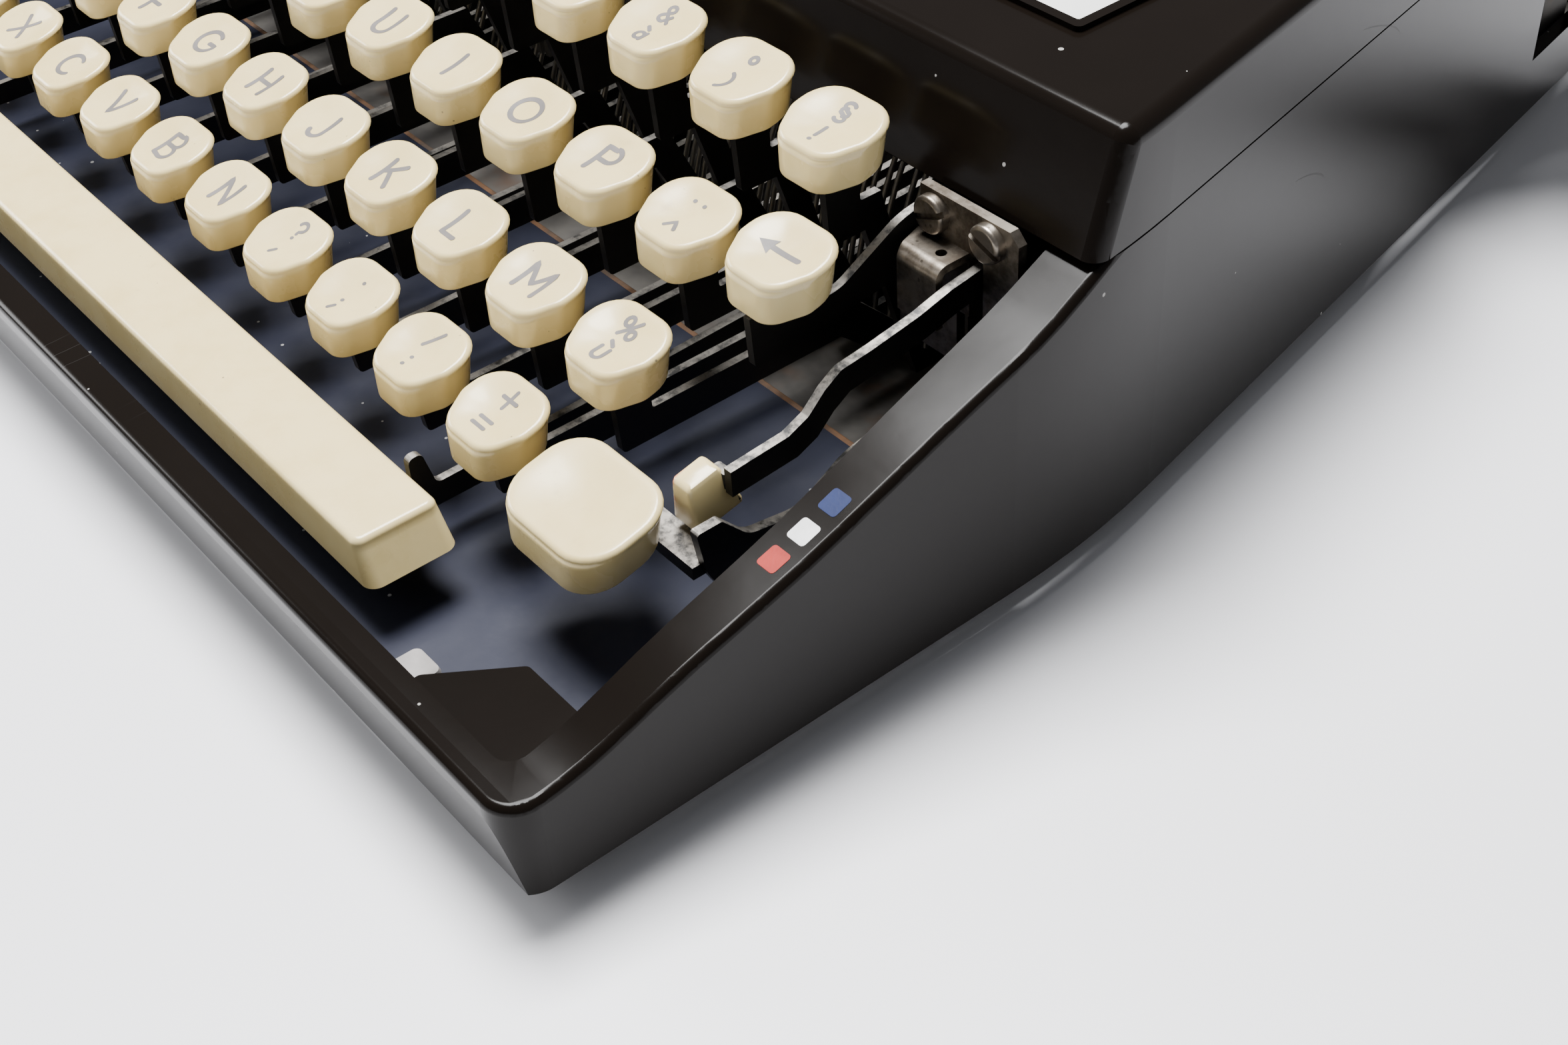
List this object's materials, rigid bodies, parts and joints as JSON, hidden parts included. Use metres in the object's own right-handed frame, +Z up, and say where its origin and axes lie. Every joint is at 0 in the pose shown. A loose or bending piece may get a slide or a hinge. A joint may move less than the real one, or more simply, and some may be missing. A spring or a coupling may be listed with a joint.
{
  "type": "typewriter",
  "caption": "Flat portable typewriter with four rows of dished round-cornered keys, a hinged cover, ribbon spools and a sliding carriage with a rubber platen.",
  "frame": {"origin": "centre of the footprint at table height", "axes": "+X to the typist's right, +Y from the keyboard to the back, +Z up"},
  "size_m": [0.2804, 0.272, 0.0964],
  "materials": {
    "casing": "glossy brownish-black moulding",
    "cover": "glossy brownish-black moulding",
    "badge": "white enamel",
    "base": "matte dark grey",
    "tray": "matte slate",
    "feet": "matte",
    "keys": "glossy ivory caps on black levers",
    "dark_steel": "black enamel",
    "nickel": "tarnished nickel",
    "steel": "bare steel",
    "type_metal": "plated steel",
    "ribbon_fabric": "inked cotton",
    "spool_metal": "black",
    "platen_rubber": "smooth",
    "knob_plastic": "black",
    "feed_rubber": "matte",
    "carriage_paint": "black enamel"
  },
  "bodies": {
    "machine": {"body_shell": "casing", "base_plate": "base", "keyboard_tray": "tray", "rubber_feet": "feet", "selector_bracket": "nickel", "bracket_screws": "nickel", "side_frames": "dark_steel", "key_comb": "steel", "fulcrum_rod": "steel", "type_segment": "steel", "type_bars": "type_metal", "ribbon": "ribbon_fabric", "carriage_rail": "steel"},
    "cover": {"top_cover": "cover", "name_badge": "badge"},
    "carriage_slide": {"carriage_base": "carriage_paint"},
    "carriage": {"carriage_frame": "carriage_paint", "paper_table": "carriage_paint"},
    "platen": {"platen": "platen_rubber", "platen_knobs": "knob_plastic"},
    "feed_rollers": {"feed_rollers": "feed_rubber"},
    "paper_bail": {"paper_bail": "steel"},
    "return_lever": {"return_lever": "nickel"},
    "paper_release_lever": {"paper_release_lever": "nickel"},
    "mainspring_drum": {"mainspring_drum": "steel"},
    "left_spool": {"left_ribbon_spool": "spool_metal"},
    "right_spool": {"right_ribbon_spool": "spool_metal"},
    "selector": {"ribbon_selector": "keys"},
    "equals_type_bar": {"equals_type_bar": "type_metal"},
    "key_c": {"key_c": "keys"},
    "key_v": {"key_v": "keys"},
    "key_b": {"key_b": "keys"},
    "key_n": {"key_n": "keys"},
    "key_question": {"key_question": "keys"},
    "key_semicolon": {"key_semicolon": "keys"},
    "key_slash": {"key_slash": "keys"},
    "key_equals": {"key_equals": "keys"},
    "key_g": {"key_g": "keys"},
    "key_h": {"key_h": "keys"},
    "key_j": {"key_j": "keys"},
    "key_k": {"key_k": "keys"},
    "key_l": {"key_l": "keys"},
    "key_m": {"key_m": "keys"},
    "key_percent": {"key_percent": "keys"},
    "key_u": {"key_u": "keys"},
    "key_i": {"key_i": "keys"},
    "key_o": {"key_o": "keys"},
    "key_p": {"key_p": "keys"},
    "key_circumflex": {"key_circumflex": "keys"},
    "key_zero": {"key_zero": "keys"},
    "key_degree": {"key_degree": "keys"},
    "key_section": {"key_section": "keys"},
    "left_lower_keys": {"left_lower_keys": "keys"},
    "left_upper_keys": {"left_upper_keys": "keys"},
    "left_number_keys": {"left_number_keys": "keys"},
    "space_bar": {"space_bar": "keys"},
    "shift_key_right": {"shift_key_right": "keys"},
    "shift_key_left": {"shift_key_left": "keys"},
    "shift_lock": {"shift_lock": "keys"},
    "backspace_key": {"backspace_key": "keys"}
  },
  "joints": [
    {"name": "key_c_press", "type": "hinge", "parent": "machine", "child": "key_c", "pos_m": [0, 0.05, 0.018], "axis": [1, 0, 0], "range_deg": [0, 2.1], "stiffness_Nm_per_rad": 0.55, "springref_deg": -5.16},
    {"name": "key_v_press", "type": "hinge", "parent": "machine", "child": "key_v", "pos_m": [0, 0.05, 0.018], "axis": [1, 0, 0], "range_deg": [0, 2.1], "stiffness_Nm_per_rad": 0.55, "springref_deg": -5.16},
    {"name": "key_b_press", "type": "hinge", "parent": "machine", "child": "key_b", "pos_m": [0, 0.05, 0.018], "axis": [1, 0, 0], "range_deg": [0, 2.1], "stiffness_Nm_per_rad": 0.55, "springref_deg": -5.16},
    {"name": "key_n_press", "type": "hinge", "parent": "machine", "child": "key_n", "pos_m": [0, 0.05, 0.018], "axis": [1, 0, 0], "range_deg": [0, 2.1], "stiffness_Nm_per_rad": 0.55, "springref_deg": -5.16},
    {"name": "key_question_press", "type": "hinge", "parent": "machine", "child": "key_question", "pos_m": [0, 0.05, 0.018], "axis": [1, 0, 0], "range_deg": [0, 2.1], "stiffness_Nm_per_rad": 0.55, "springref_deg": -5.16},
    {"name": "key_semicolon_press", "type": "hinge", "parent": "machine", "child": "key_semicolon", "pos_m": [0, 0.05, 0.018], "axis": [1, 0, 0], "range_deg": [0, 2.1], "stiffness_Nm_per_rad": 0.55, "springref_deg": -5.16},
    {"name": "key_slash_press", "type": "hinge", "parent": "machine", "child": "key_slash", "pos_m": [0, 0.05, 0.018], "axis": [1, 0, 0], "range_deg": [0, 2.1], "stiffness_Nm_per_rad": 0.55, "springref_deg": -5.16},
    {"name": "key_equals_press", "type": "hinge", "parent": "machine", "child": "key_equals", "pos_m": [0, 0.05, 0.018], "axis": [1, 0, 0], "range_deg": [0, 2.1], "stiffness_Nm_per_rad": 0.55, "springref_deg": -5.16},
    {"name": "key_g_press", "type": "hinge", "parent": "machine", "child": "key_g", "pos_m": [0, 0.05, 0.018], "axis": [1, 0, 0], "range_deg": [0, 2.3], "stiffness_Nm_per_rad": 0.55, "springref_deg": -5.16},
    {"name": "key_h_press", "type": "hinge", "parent": "machine", "child": "key_h", "pos_m": [0, 0.05, 0.018], "axis": [1, 0, 0], "range_deg": [0, 2.3], "stiffness_Nm_per_rad": 0.55, "springref_deg": -5.16},
    {"name": "key_j_press", "type": "hinge", "parent": "machine", "child": "key_j", "pos_m": [0, 0.05, 0.018], "axis": [1, 0, 0], "range_deg": [0, 2.3], "stiffness_Nm_per_rad": 0.55, "springref_deg": -5.16},
    {"name": "key_k_press", "type": "hinge", "parent": "machine", "child": "key_k", "pos_m": [0, 0.05, 0.018], "axis": [1, 0, 0], "range_deg": [0, 2.3], "stiffness_Nm_per_rad": 0.55, "springref_deg": -5.16},
    {"name": "key_l_press", "type": "hinge", "parent": "machine", "child": "key_l", "pos_m": [0, 0.05, 0.018], "axis": [1, 0, 0], "range_deg": [0, 2.3], "stiffness_Nm_per_rad": 0.55, "springref_deg": -5.16},
    {"name": "key_m_press", "type": "hinge", "parent": "machine", "child": "key_m", "pos_m": [0, 0.05, 0.018], "axis": [1, 0, 0], "range_deg": [0, 2.3], "stiffness_Nm_per_rad": 0.55, "springref_deg": -5.16},
    {"name": "key_percent_press", "type": "hinge", "parent": "machine", "child": "key_percent", "pos_m": [0, 0.05, 0.018], "axis": [1, 0, 0], "range_deg": [0, 2.3], "stiffness_Nm_per_rad": 0.55, "springref_deg": -5.16},
    {"name": "key_u_press", "type": "hinge", "parent": "machine", "child": "key_u", "pos_m": [0, 0.05, 0.018], "axis": [1, 0, 0], "range_deg": [0, 2.6], "stiffness_Nm_per_rad": 0.55, "springref_deg": -5.16},
    {"name": "key_i_press", "type": "hinge", "parent": "machine", "child": "key_i", "pos_m": [0, 0.05, 0.018], "axis": [1, 0, 0], "range_deg": [0, 2.6], "stiffness_Nm_per_rad": 0.55, "springref_deg": -5.16},
    {"name": "key_o_press", "type": "hinge", "parent": "machine", "child": "key_o", "pos_m": [0, 0.05, 0.018], "axis": [1, 0, 0], "range_deg": [0, 2.6], "stiffness_Nm_per_rad": 0.55, "springref_deg": -5.16},
    {"name": "key_p_press", "type": "hinge", "parent": "machine", "child": "key_p", "pos_m": [0, 0.05, 0.018], "axis": [1, 0, 0], "range_deg": [0, 2.6], "stiffness_Nm_per_rad": 0.55, "springref_deg": -5.16},
    {"name": "key_circumflex_press", "type": "hinge", "parent": "machine", "child": "key_circumflex", "pos_m": [0, 0.05, 0.018], "axis": [1, 0, 0], "range_deg": [0, 2.6], "stiffness_Nm_per_rad": 0.55, "springref_deg": -5.16},
    {"name": "key_zero_press", "type": "hinge", "parent": "machine", "child": "key_zero", "pos_m": [0, 0.05, 0.018], "axis": [1, 0, 0], "range_deg": [0, 2.5], "stiffness_Nm_per_rad": 0.55, "springref_deg": -5.16},
    {"name": "key_degree_press", "type": "hinge", "parent": "machine", "child": "key_degree", "pos_m": [0, 0.05, 0.018], "axis": [1, 0, 0], "range_deg": [0, 2.5], "stiffness_Nm_per_rad": 0.55, "springref_deg": -5.16},
    {"name": "key_section_press", "type": "hinge", "parent": "machine", "child": "key_section", "pos_m": [0, 0.05, 0.018], "axis": [1, 0, 0], "range_deg": [0, 2.5], "stiffness_Nm_per_rad": 0.55, "springref_deg": -5.16},
    {"name": "left_lower_keys_press", "type": "hinge", "parent": "machine", "child": "left_lower_keys", "pos_m": [0, 0.05, 0.018], "axis": [1, 0, 0], "range_deg": [0, 2.1], "stiffness_Nm_per_rad": 3.3, "springref_deg": -5.16},
    {"name": "left_upper_keys_press", "type": "hinge", "parent": "machine", "child": "left_upper_keys", "pos_m": [0, 0.05, 0.018], "axis": [1, 0, 0], "range_deg": [0, 2.6], "stiffness_Nm_per_rad": 3.3, "springref_deg": -5.16},
    {"name": "left_number_keys_press", "type": "hinge", "parent": "machine", "child": "left_number_keys", "pos_m": [0, 0.05, 0.018], "axis": [1, 0, 0], "range_deg": [0, 2.5], "stiffness_Nm_per_rad": 4.4, "springref_deg": -5.16},
    {"name": "space_bar_press", "type": "hinge", "parent": "machine", "child": "space_bar", "pos_m": [0, 0.05, 0.018], "axis": [1, 0, 0], "range_deg": [0, 1.6], "stiffness_Nm_per_rad": 1.6, "springref_deg": -6.88},
    {"name": "shift_right_press", "type": "hinge", "parent": "machine", "child": "shift_key_right", "pos_m": [0, 0.014, 0.024], "axis": [1, 0, 0], "range_deg": [0, 2.5], "stiffness_Nm_per_rad": 1.2, "springref_deg": -6.88},
    {"name": "shift_left_press", "type": "hinge", "parent": "machine", "child": "shift_key_left", "pos_m": [0, 0.014, 0.024], "axis": [1, 0, 0], "range_deg": [0, 2.5], "stiffness_Nm_per_rad": 1.2, "springref_deg": -6.88},
    {"name": "shift_lock_press", "type": "hinge", "parent": "machine", "child": "shift_lock", "pos_m": [0, 0.014, 0.024], "axis": [1, 0, 0], "range_deg": [0, 2.4], "stiffness_Nm_per_rad": 0.8, "springref_deg": -6.88},
    {"name": "backspace_press", "type": "hinge", "parent": "machine", "child": "backspace_key", "pos_m": [0, 0.014, 0.04], "axis": [1, 0, 0], "range_deg": [0, 3.4], "stiffness_Nm_per_rad": 0.8, "springref_deg": -6.88},
    {"name": "selector_slide", "type": "slide", "parent": "machine", "child": "selector", "axis": [0, 1, 0], "range_m": [0, 0.008]},
    {"name": "cover_hinge", "type": "hinge", "parent": "machine", "child": "cover", "pos_m": [0, 0.059, 0.0513], "axis": [-1, 0, 0], "range_deg": [0, 50]},
    {"name": "right_spool_turn", "type": "hinge", "parent": "machine", "child": "right_spool", "pos_m": [0.08, 0.019, 0.055], "axis": [0, 0, 1], "continuous": true},
    {"name": "left_spool_turn", "type": "hinge", "parent": "machine", "child": "left_spool", "pos_m": [-0.08, 0.019, 0.055], "axis": [0, 0, 1], "continuous": true},
    {"name": "carriage_travel", "type": "slide", "parent": "machine", "child": "carriage_slide", "axis": [1, 0, 0], "range_m": [-0.095, 0.095]},
    {"name": "mainspring_turn", "type": "hinge", "parent": "machine", "child": "mainspring_drum", "pos_m": [-0.074, 0.106, 0.013], "axis": [0, 0, 1], "range_deg": [-430, 430]},
    {"name": "carriage_lift", "type": "slide", "parent": "carriage_slide", "child": "carriage", "axis": [0, 0, 1], "range_m": [0, 0.0049], "stiffness_N_per_m": 100, "springref_m": 0.045},
    {"name": "platen_turn", "type": "hinge", "parent": "carriage", "child": "platen", "pos_m": [0, 0.093, 0.066], "axis": [1, 0, 0], "continuous": true},
    {"name": "feed_roller_turn", "type": "hinge", "parent": "carriage", "child": "feed_rollers", "pos_m": [0, 0.0853, 0.0495], "axis": [1, 0, 0], "continuous": true},
    {"name": "paper_bail_lift", "type": "hinge", "parent": "carriage", "child": "paper_bail", "pos_m": [0, 0.098, 0.0839], "axis": [-1, 0, 0], "range_deg": [0, 70]},
    {"name": "return_lever_swing", "type": "hinge", "parent": "carriage", "child": "return_lever", "pos_m": [-0.121, 0.092, 0.087], "axis": [0, 0, 1], "range_deg": [0, 30], "stiffness_Nm_per_rad": 0.05, "springref_deg": -17.19},
    {"name": "paper_release_swing", "type": "hinge", "parent": "carriage", "child": "paper_release_lever", "pos_m": [0.1199, 0.11, 0.07], "axis": [-1, 0, 0], "range_deg": [0, 18]},
    {"name": "equals_type_bar_swing", "type": "hinge", "parent": "machine", "child": "equals_type_bar", "pos_m": [0.03519, 0.027, 0.05457], "axis": [-0.309, 0, -0.9511], "range_deg": [0, 141]}
  ],
  "couplings": [
    {"joint": "shift_right_press", "follows": "carriage_lift", "rad_per_m": 8.9},
    {"joint": "shift_left_press", "follows": "carriage_lift", "rad_per_m": 8.9},
    {"joint": "left_spool_turn", "follows": "right_spool_turn", "ratio": 1},
    {"joint": "mainspring_turn", "follows": "carriage_travel", "rad_per_m": 78},
    {"joint": "feed_roller_turn", "follows": "platen_turn", "ratio": -5},
    {"joint": "equals_type_bar_swing", "follows": "key_equals_press", "ratio": 67}
  ]
}
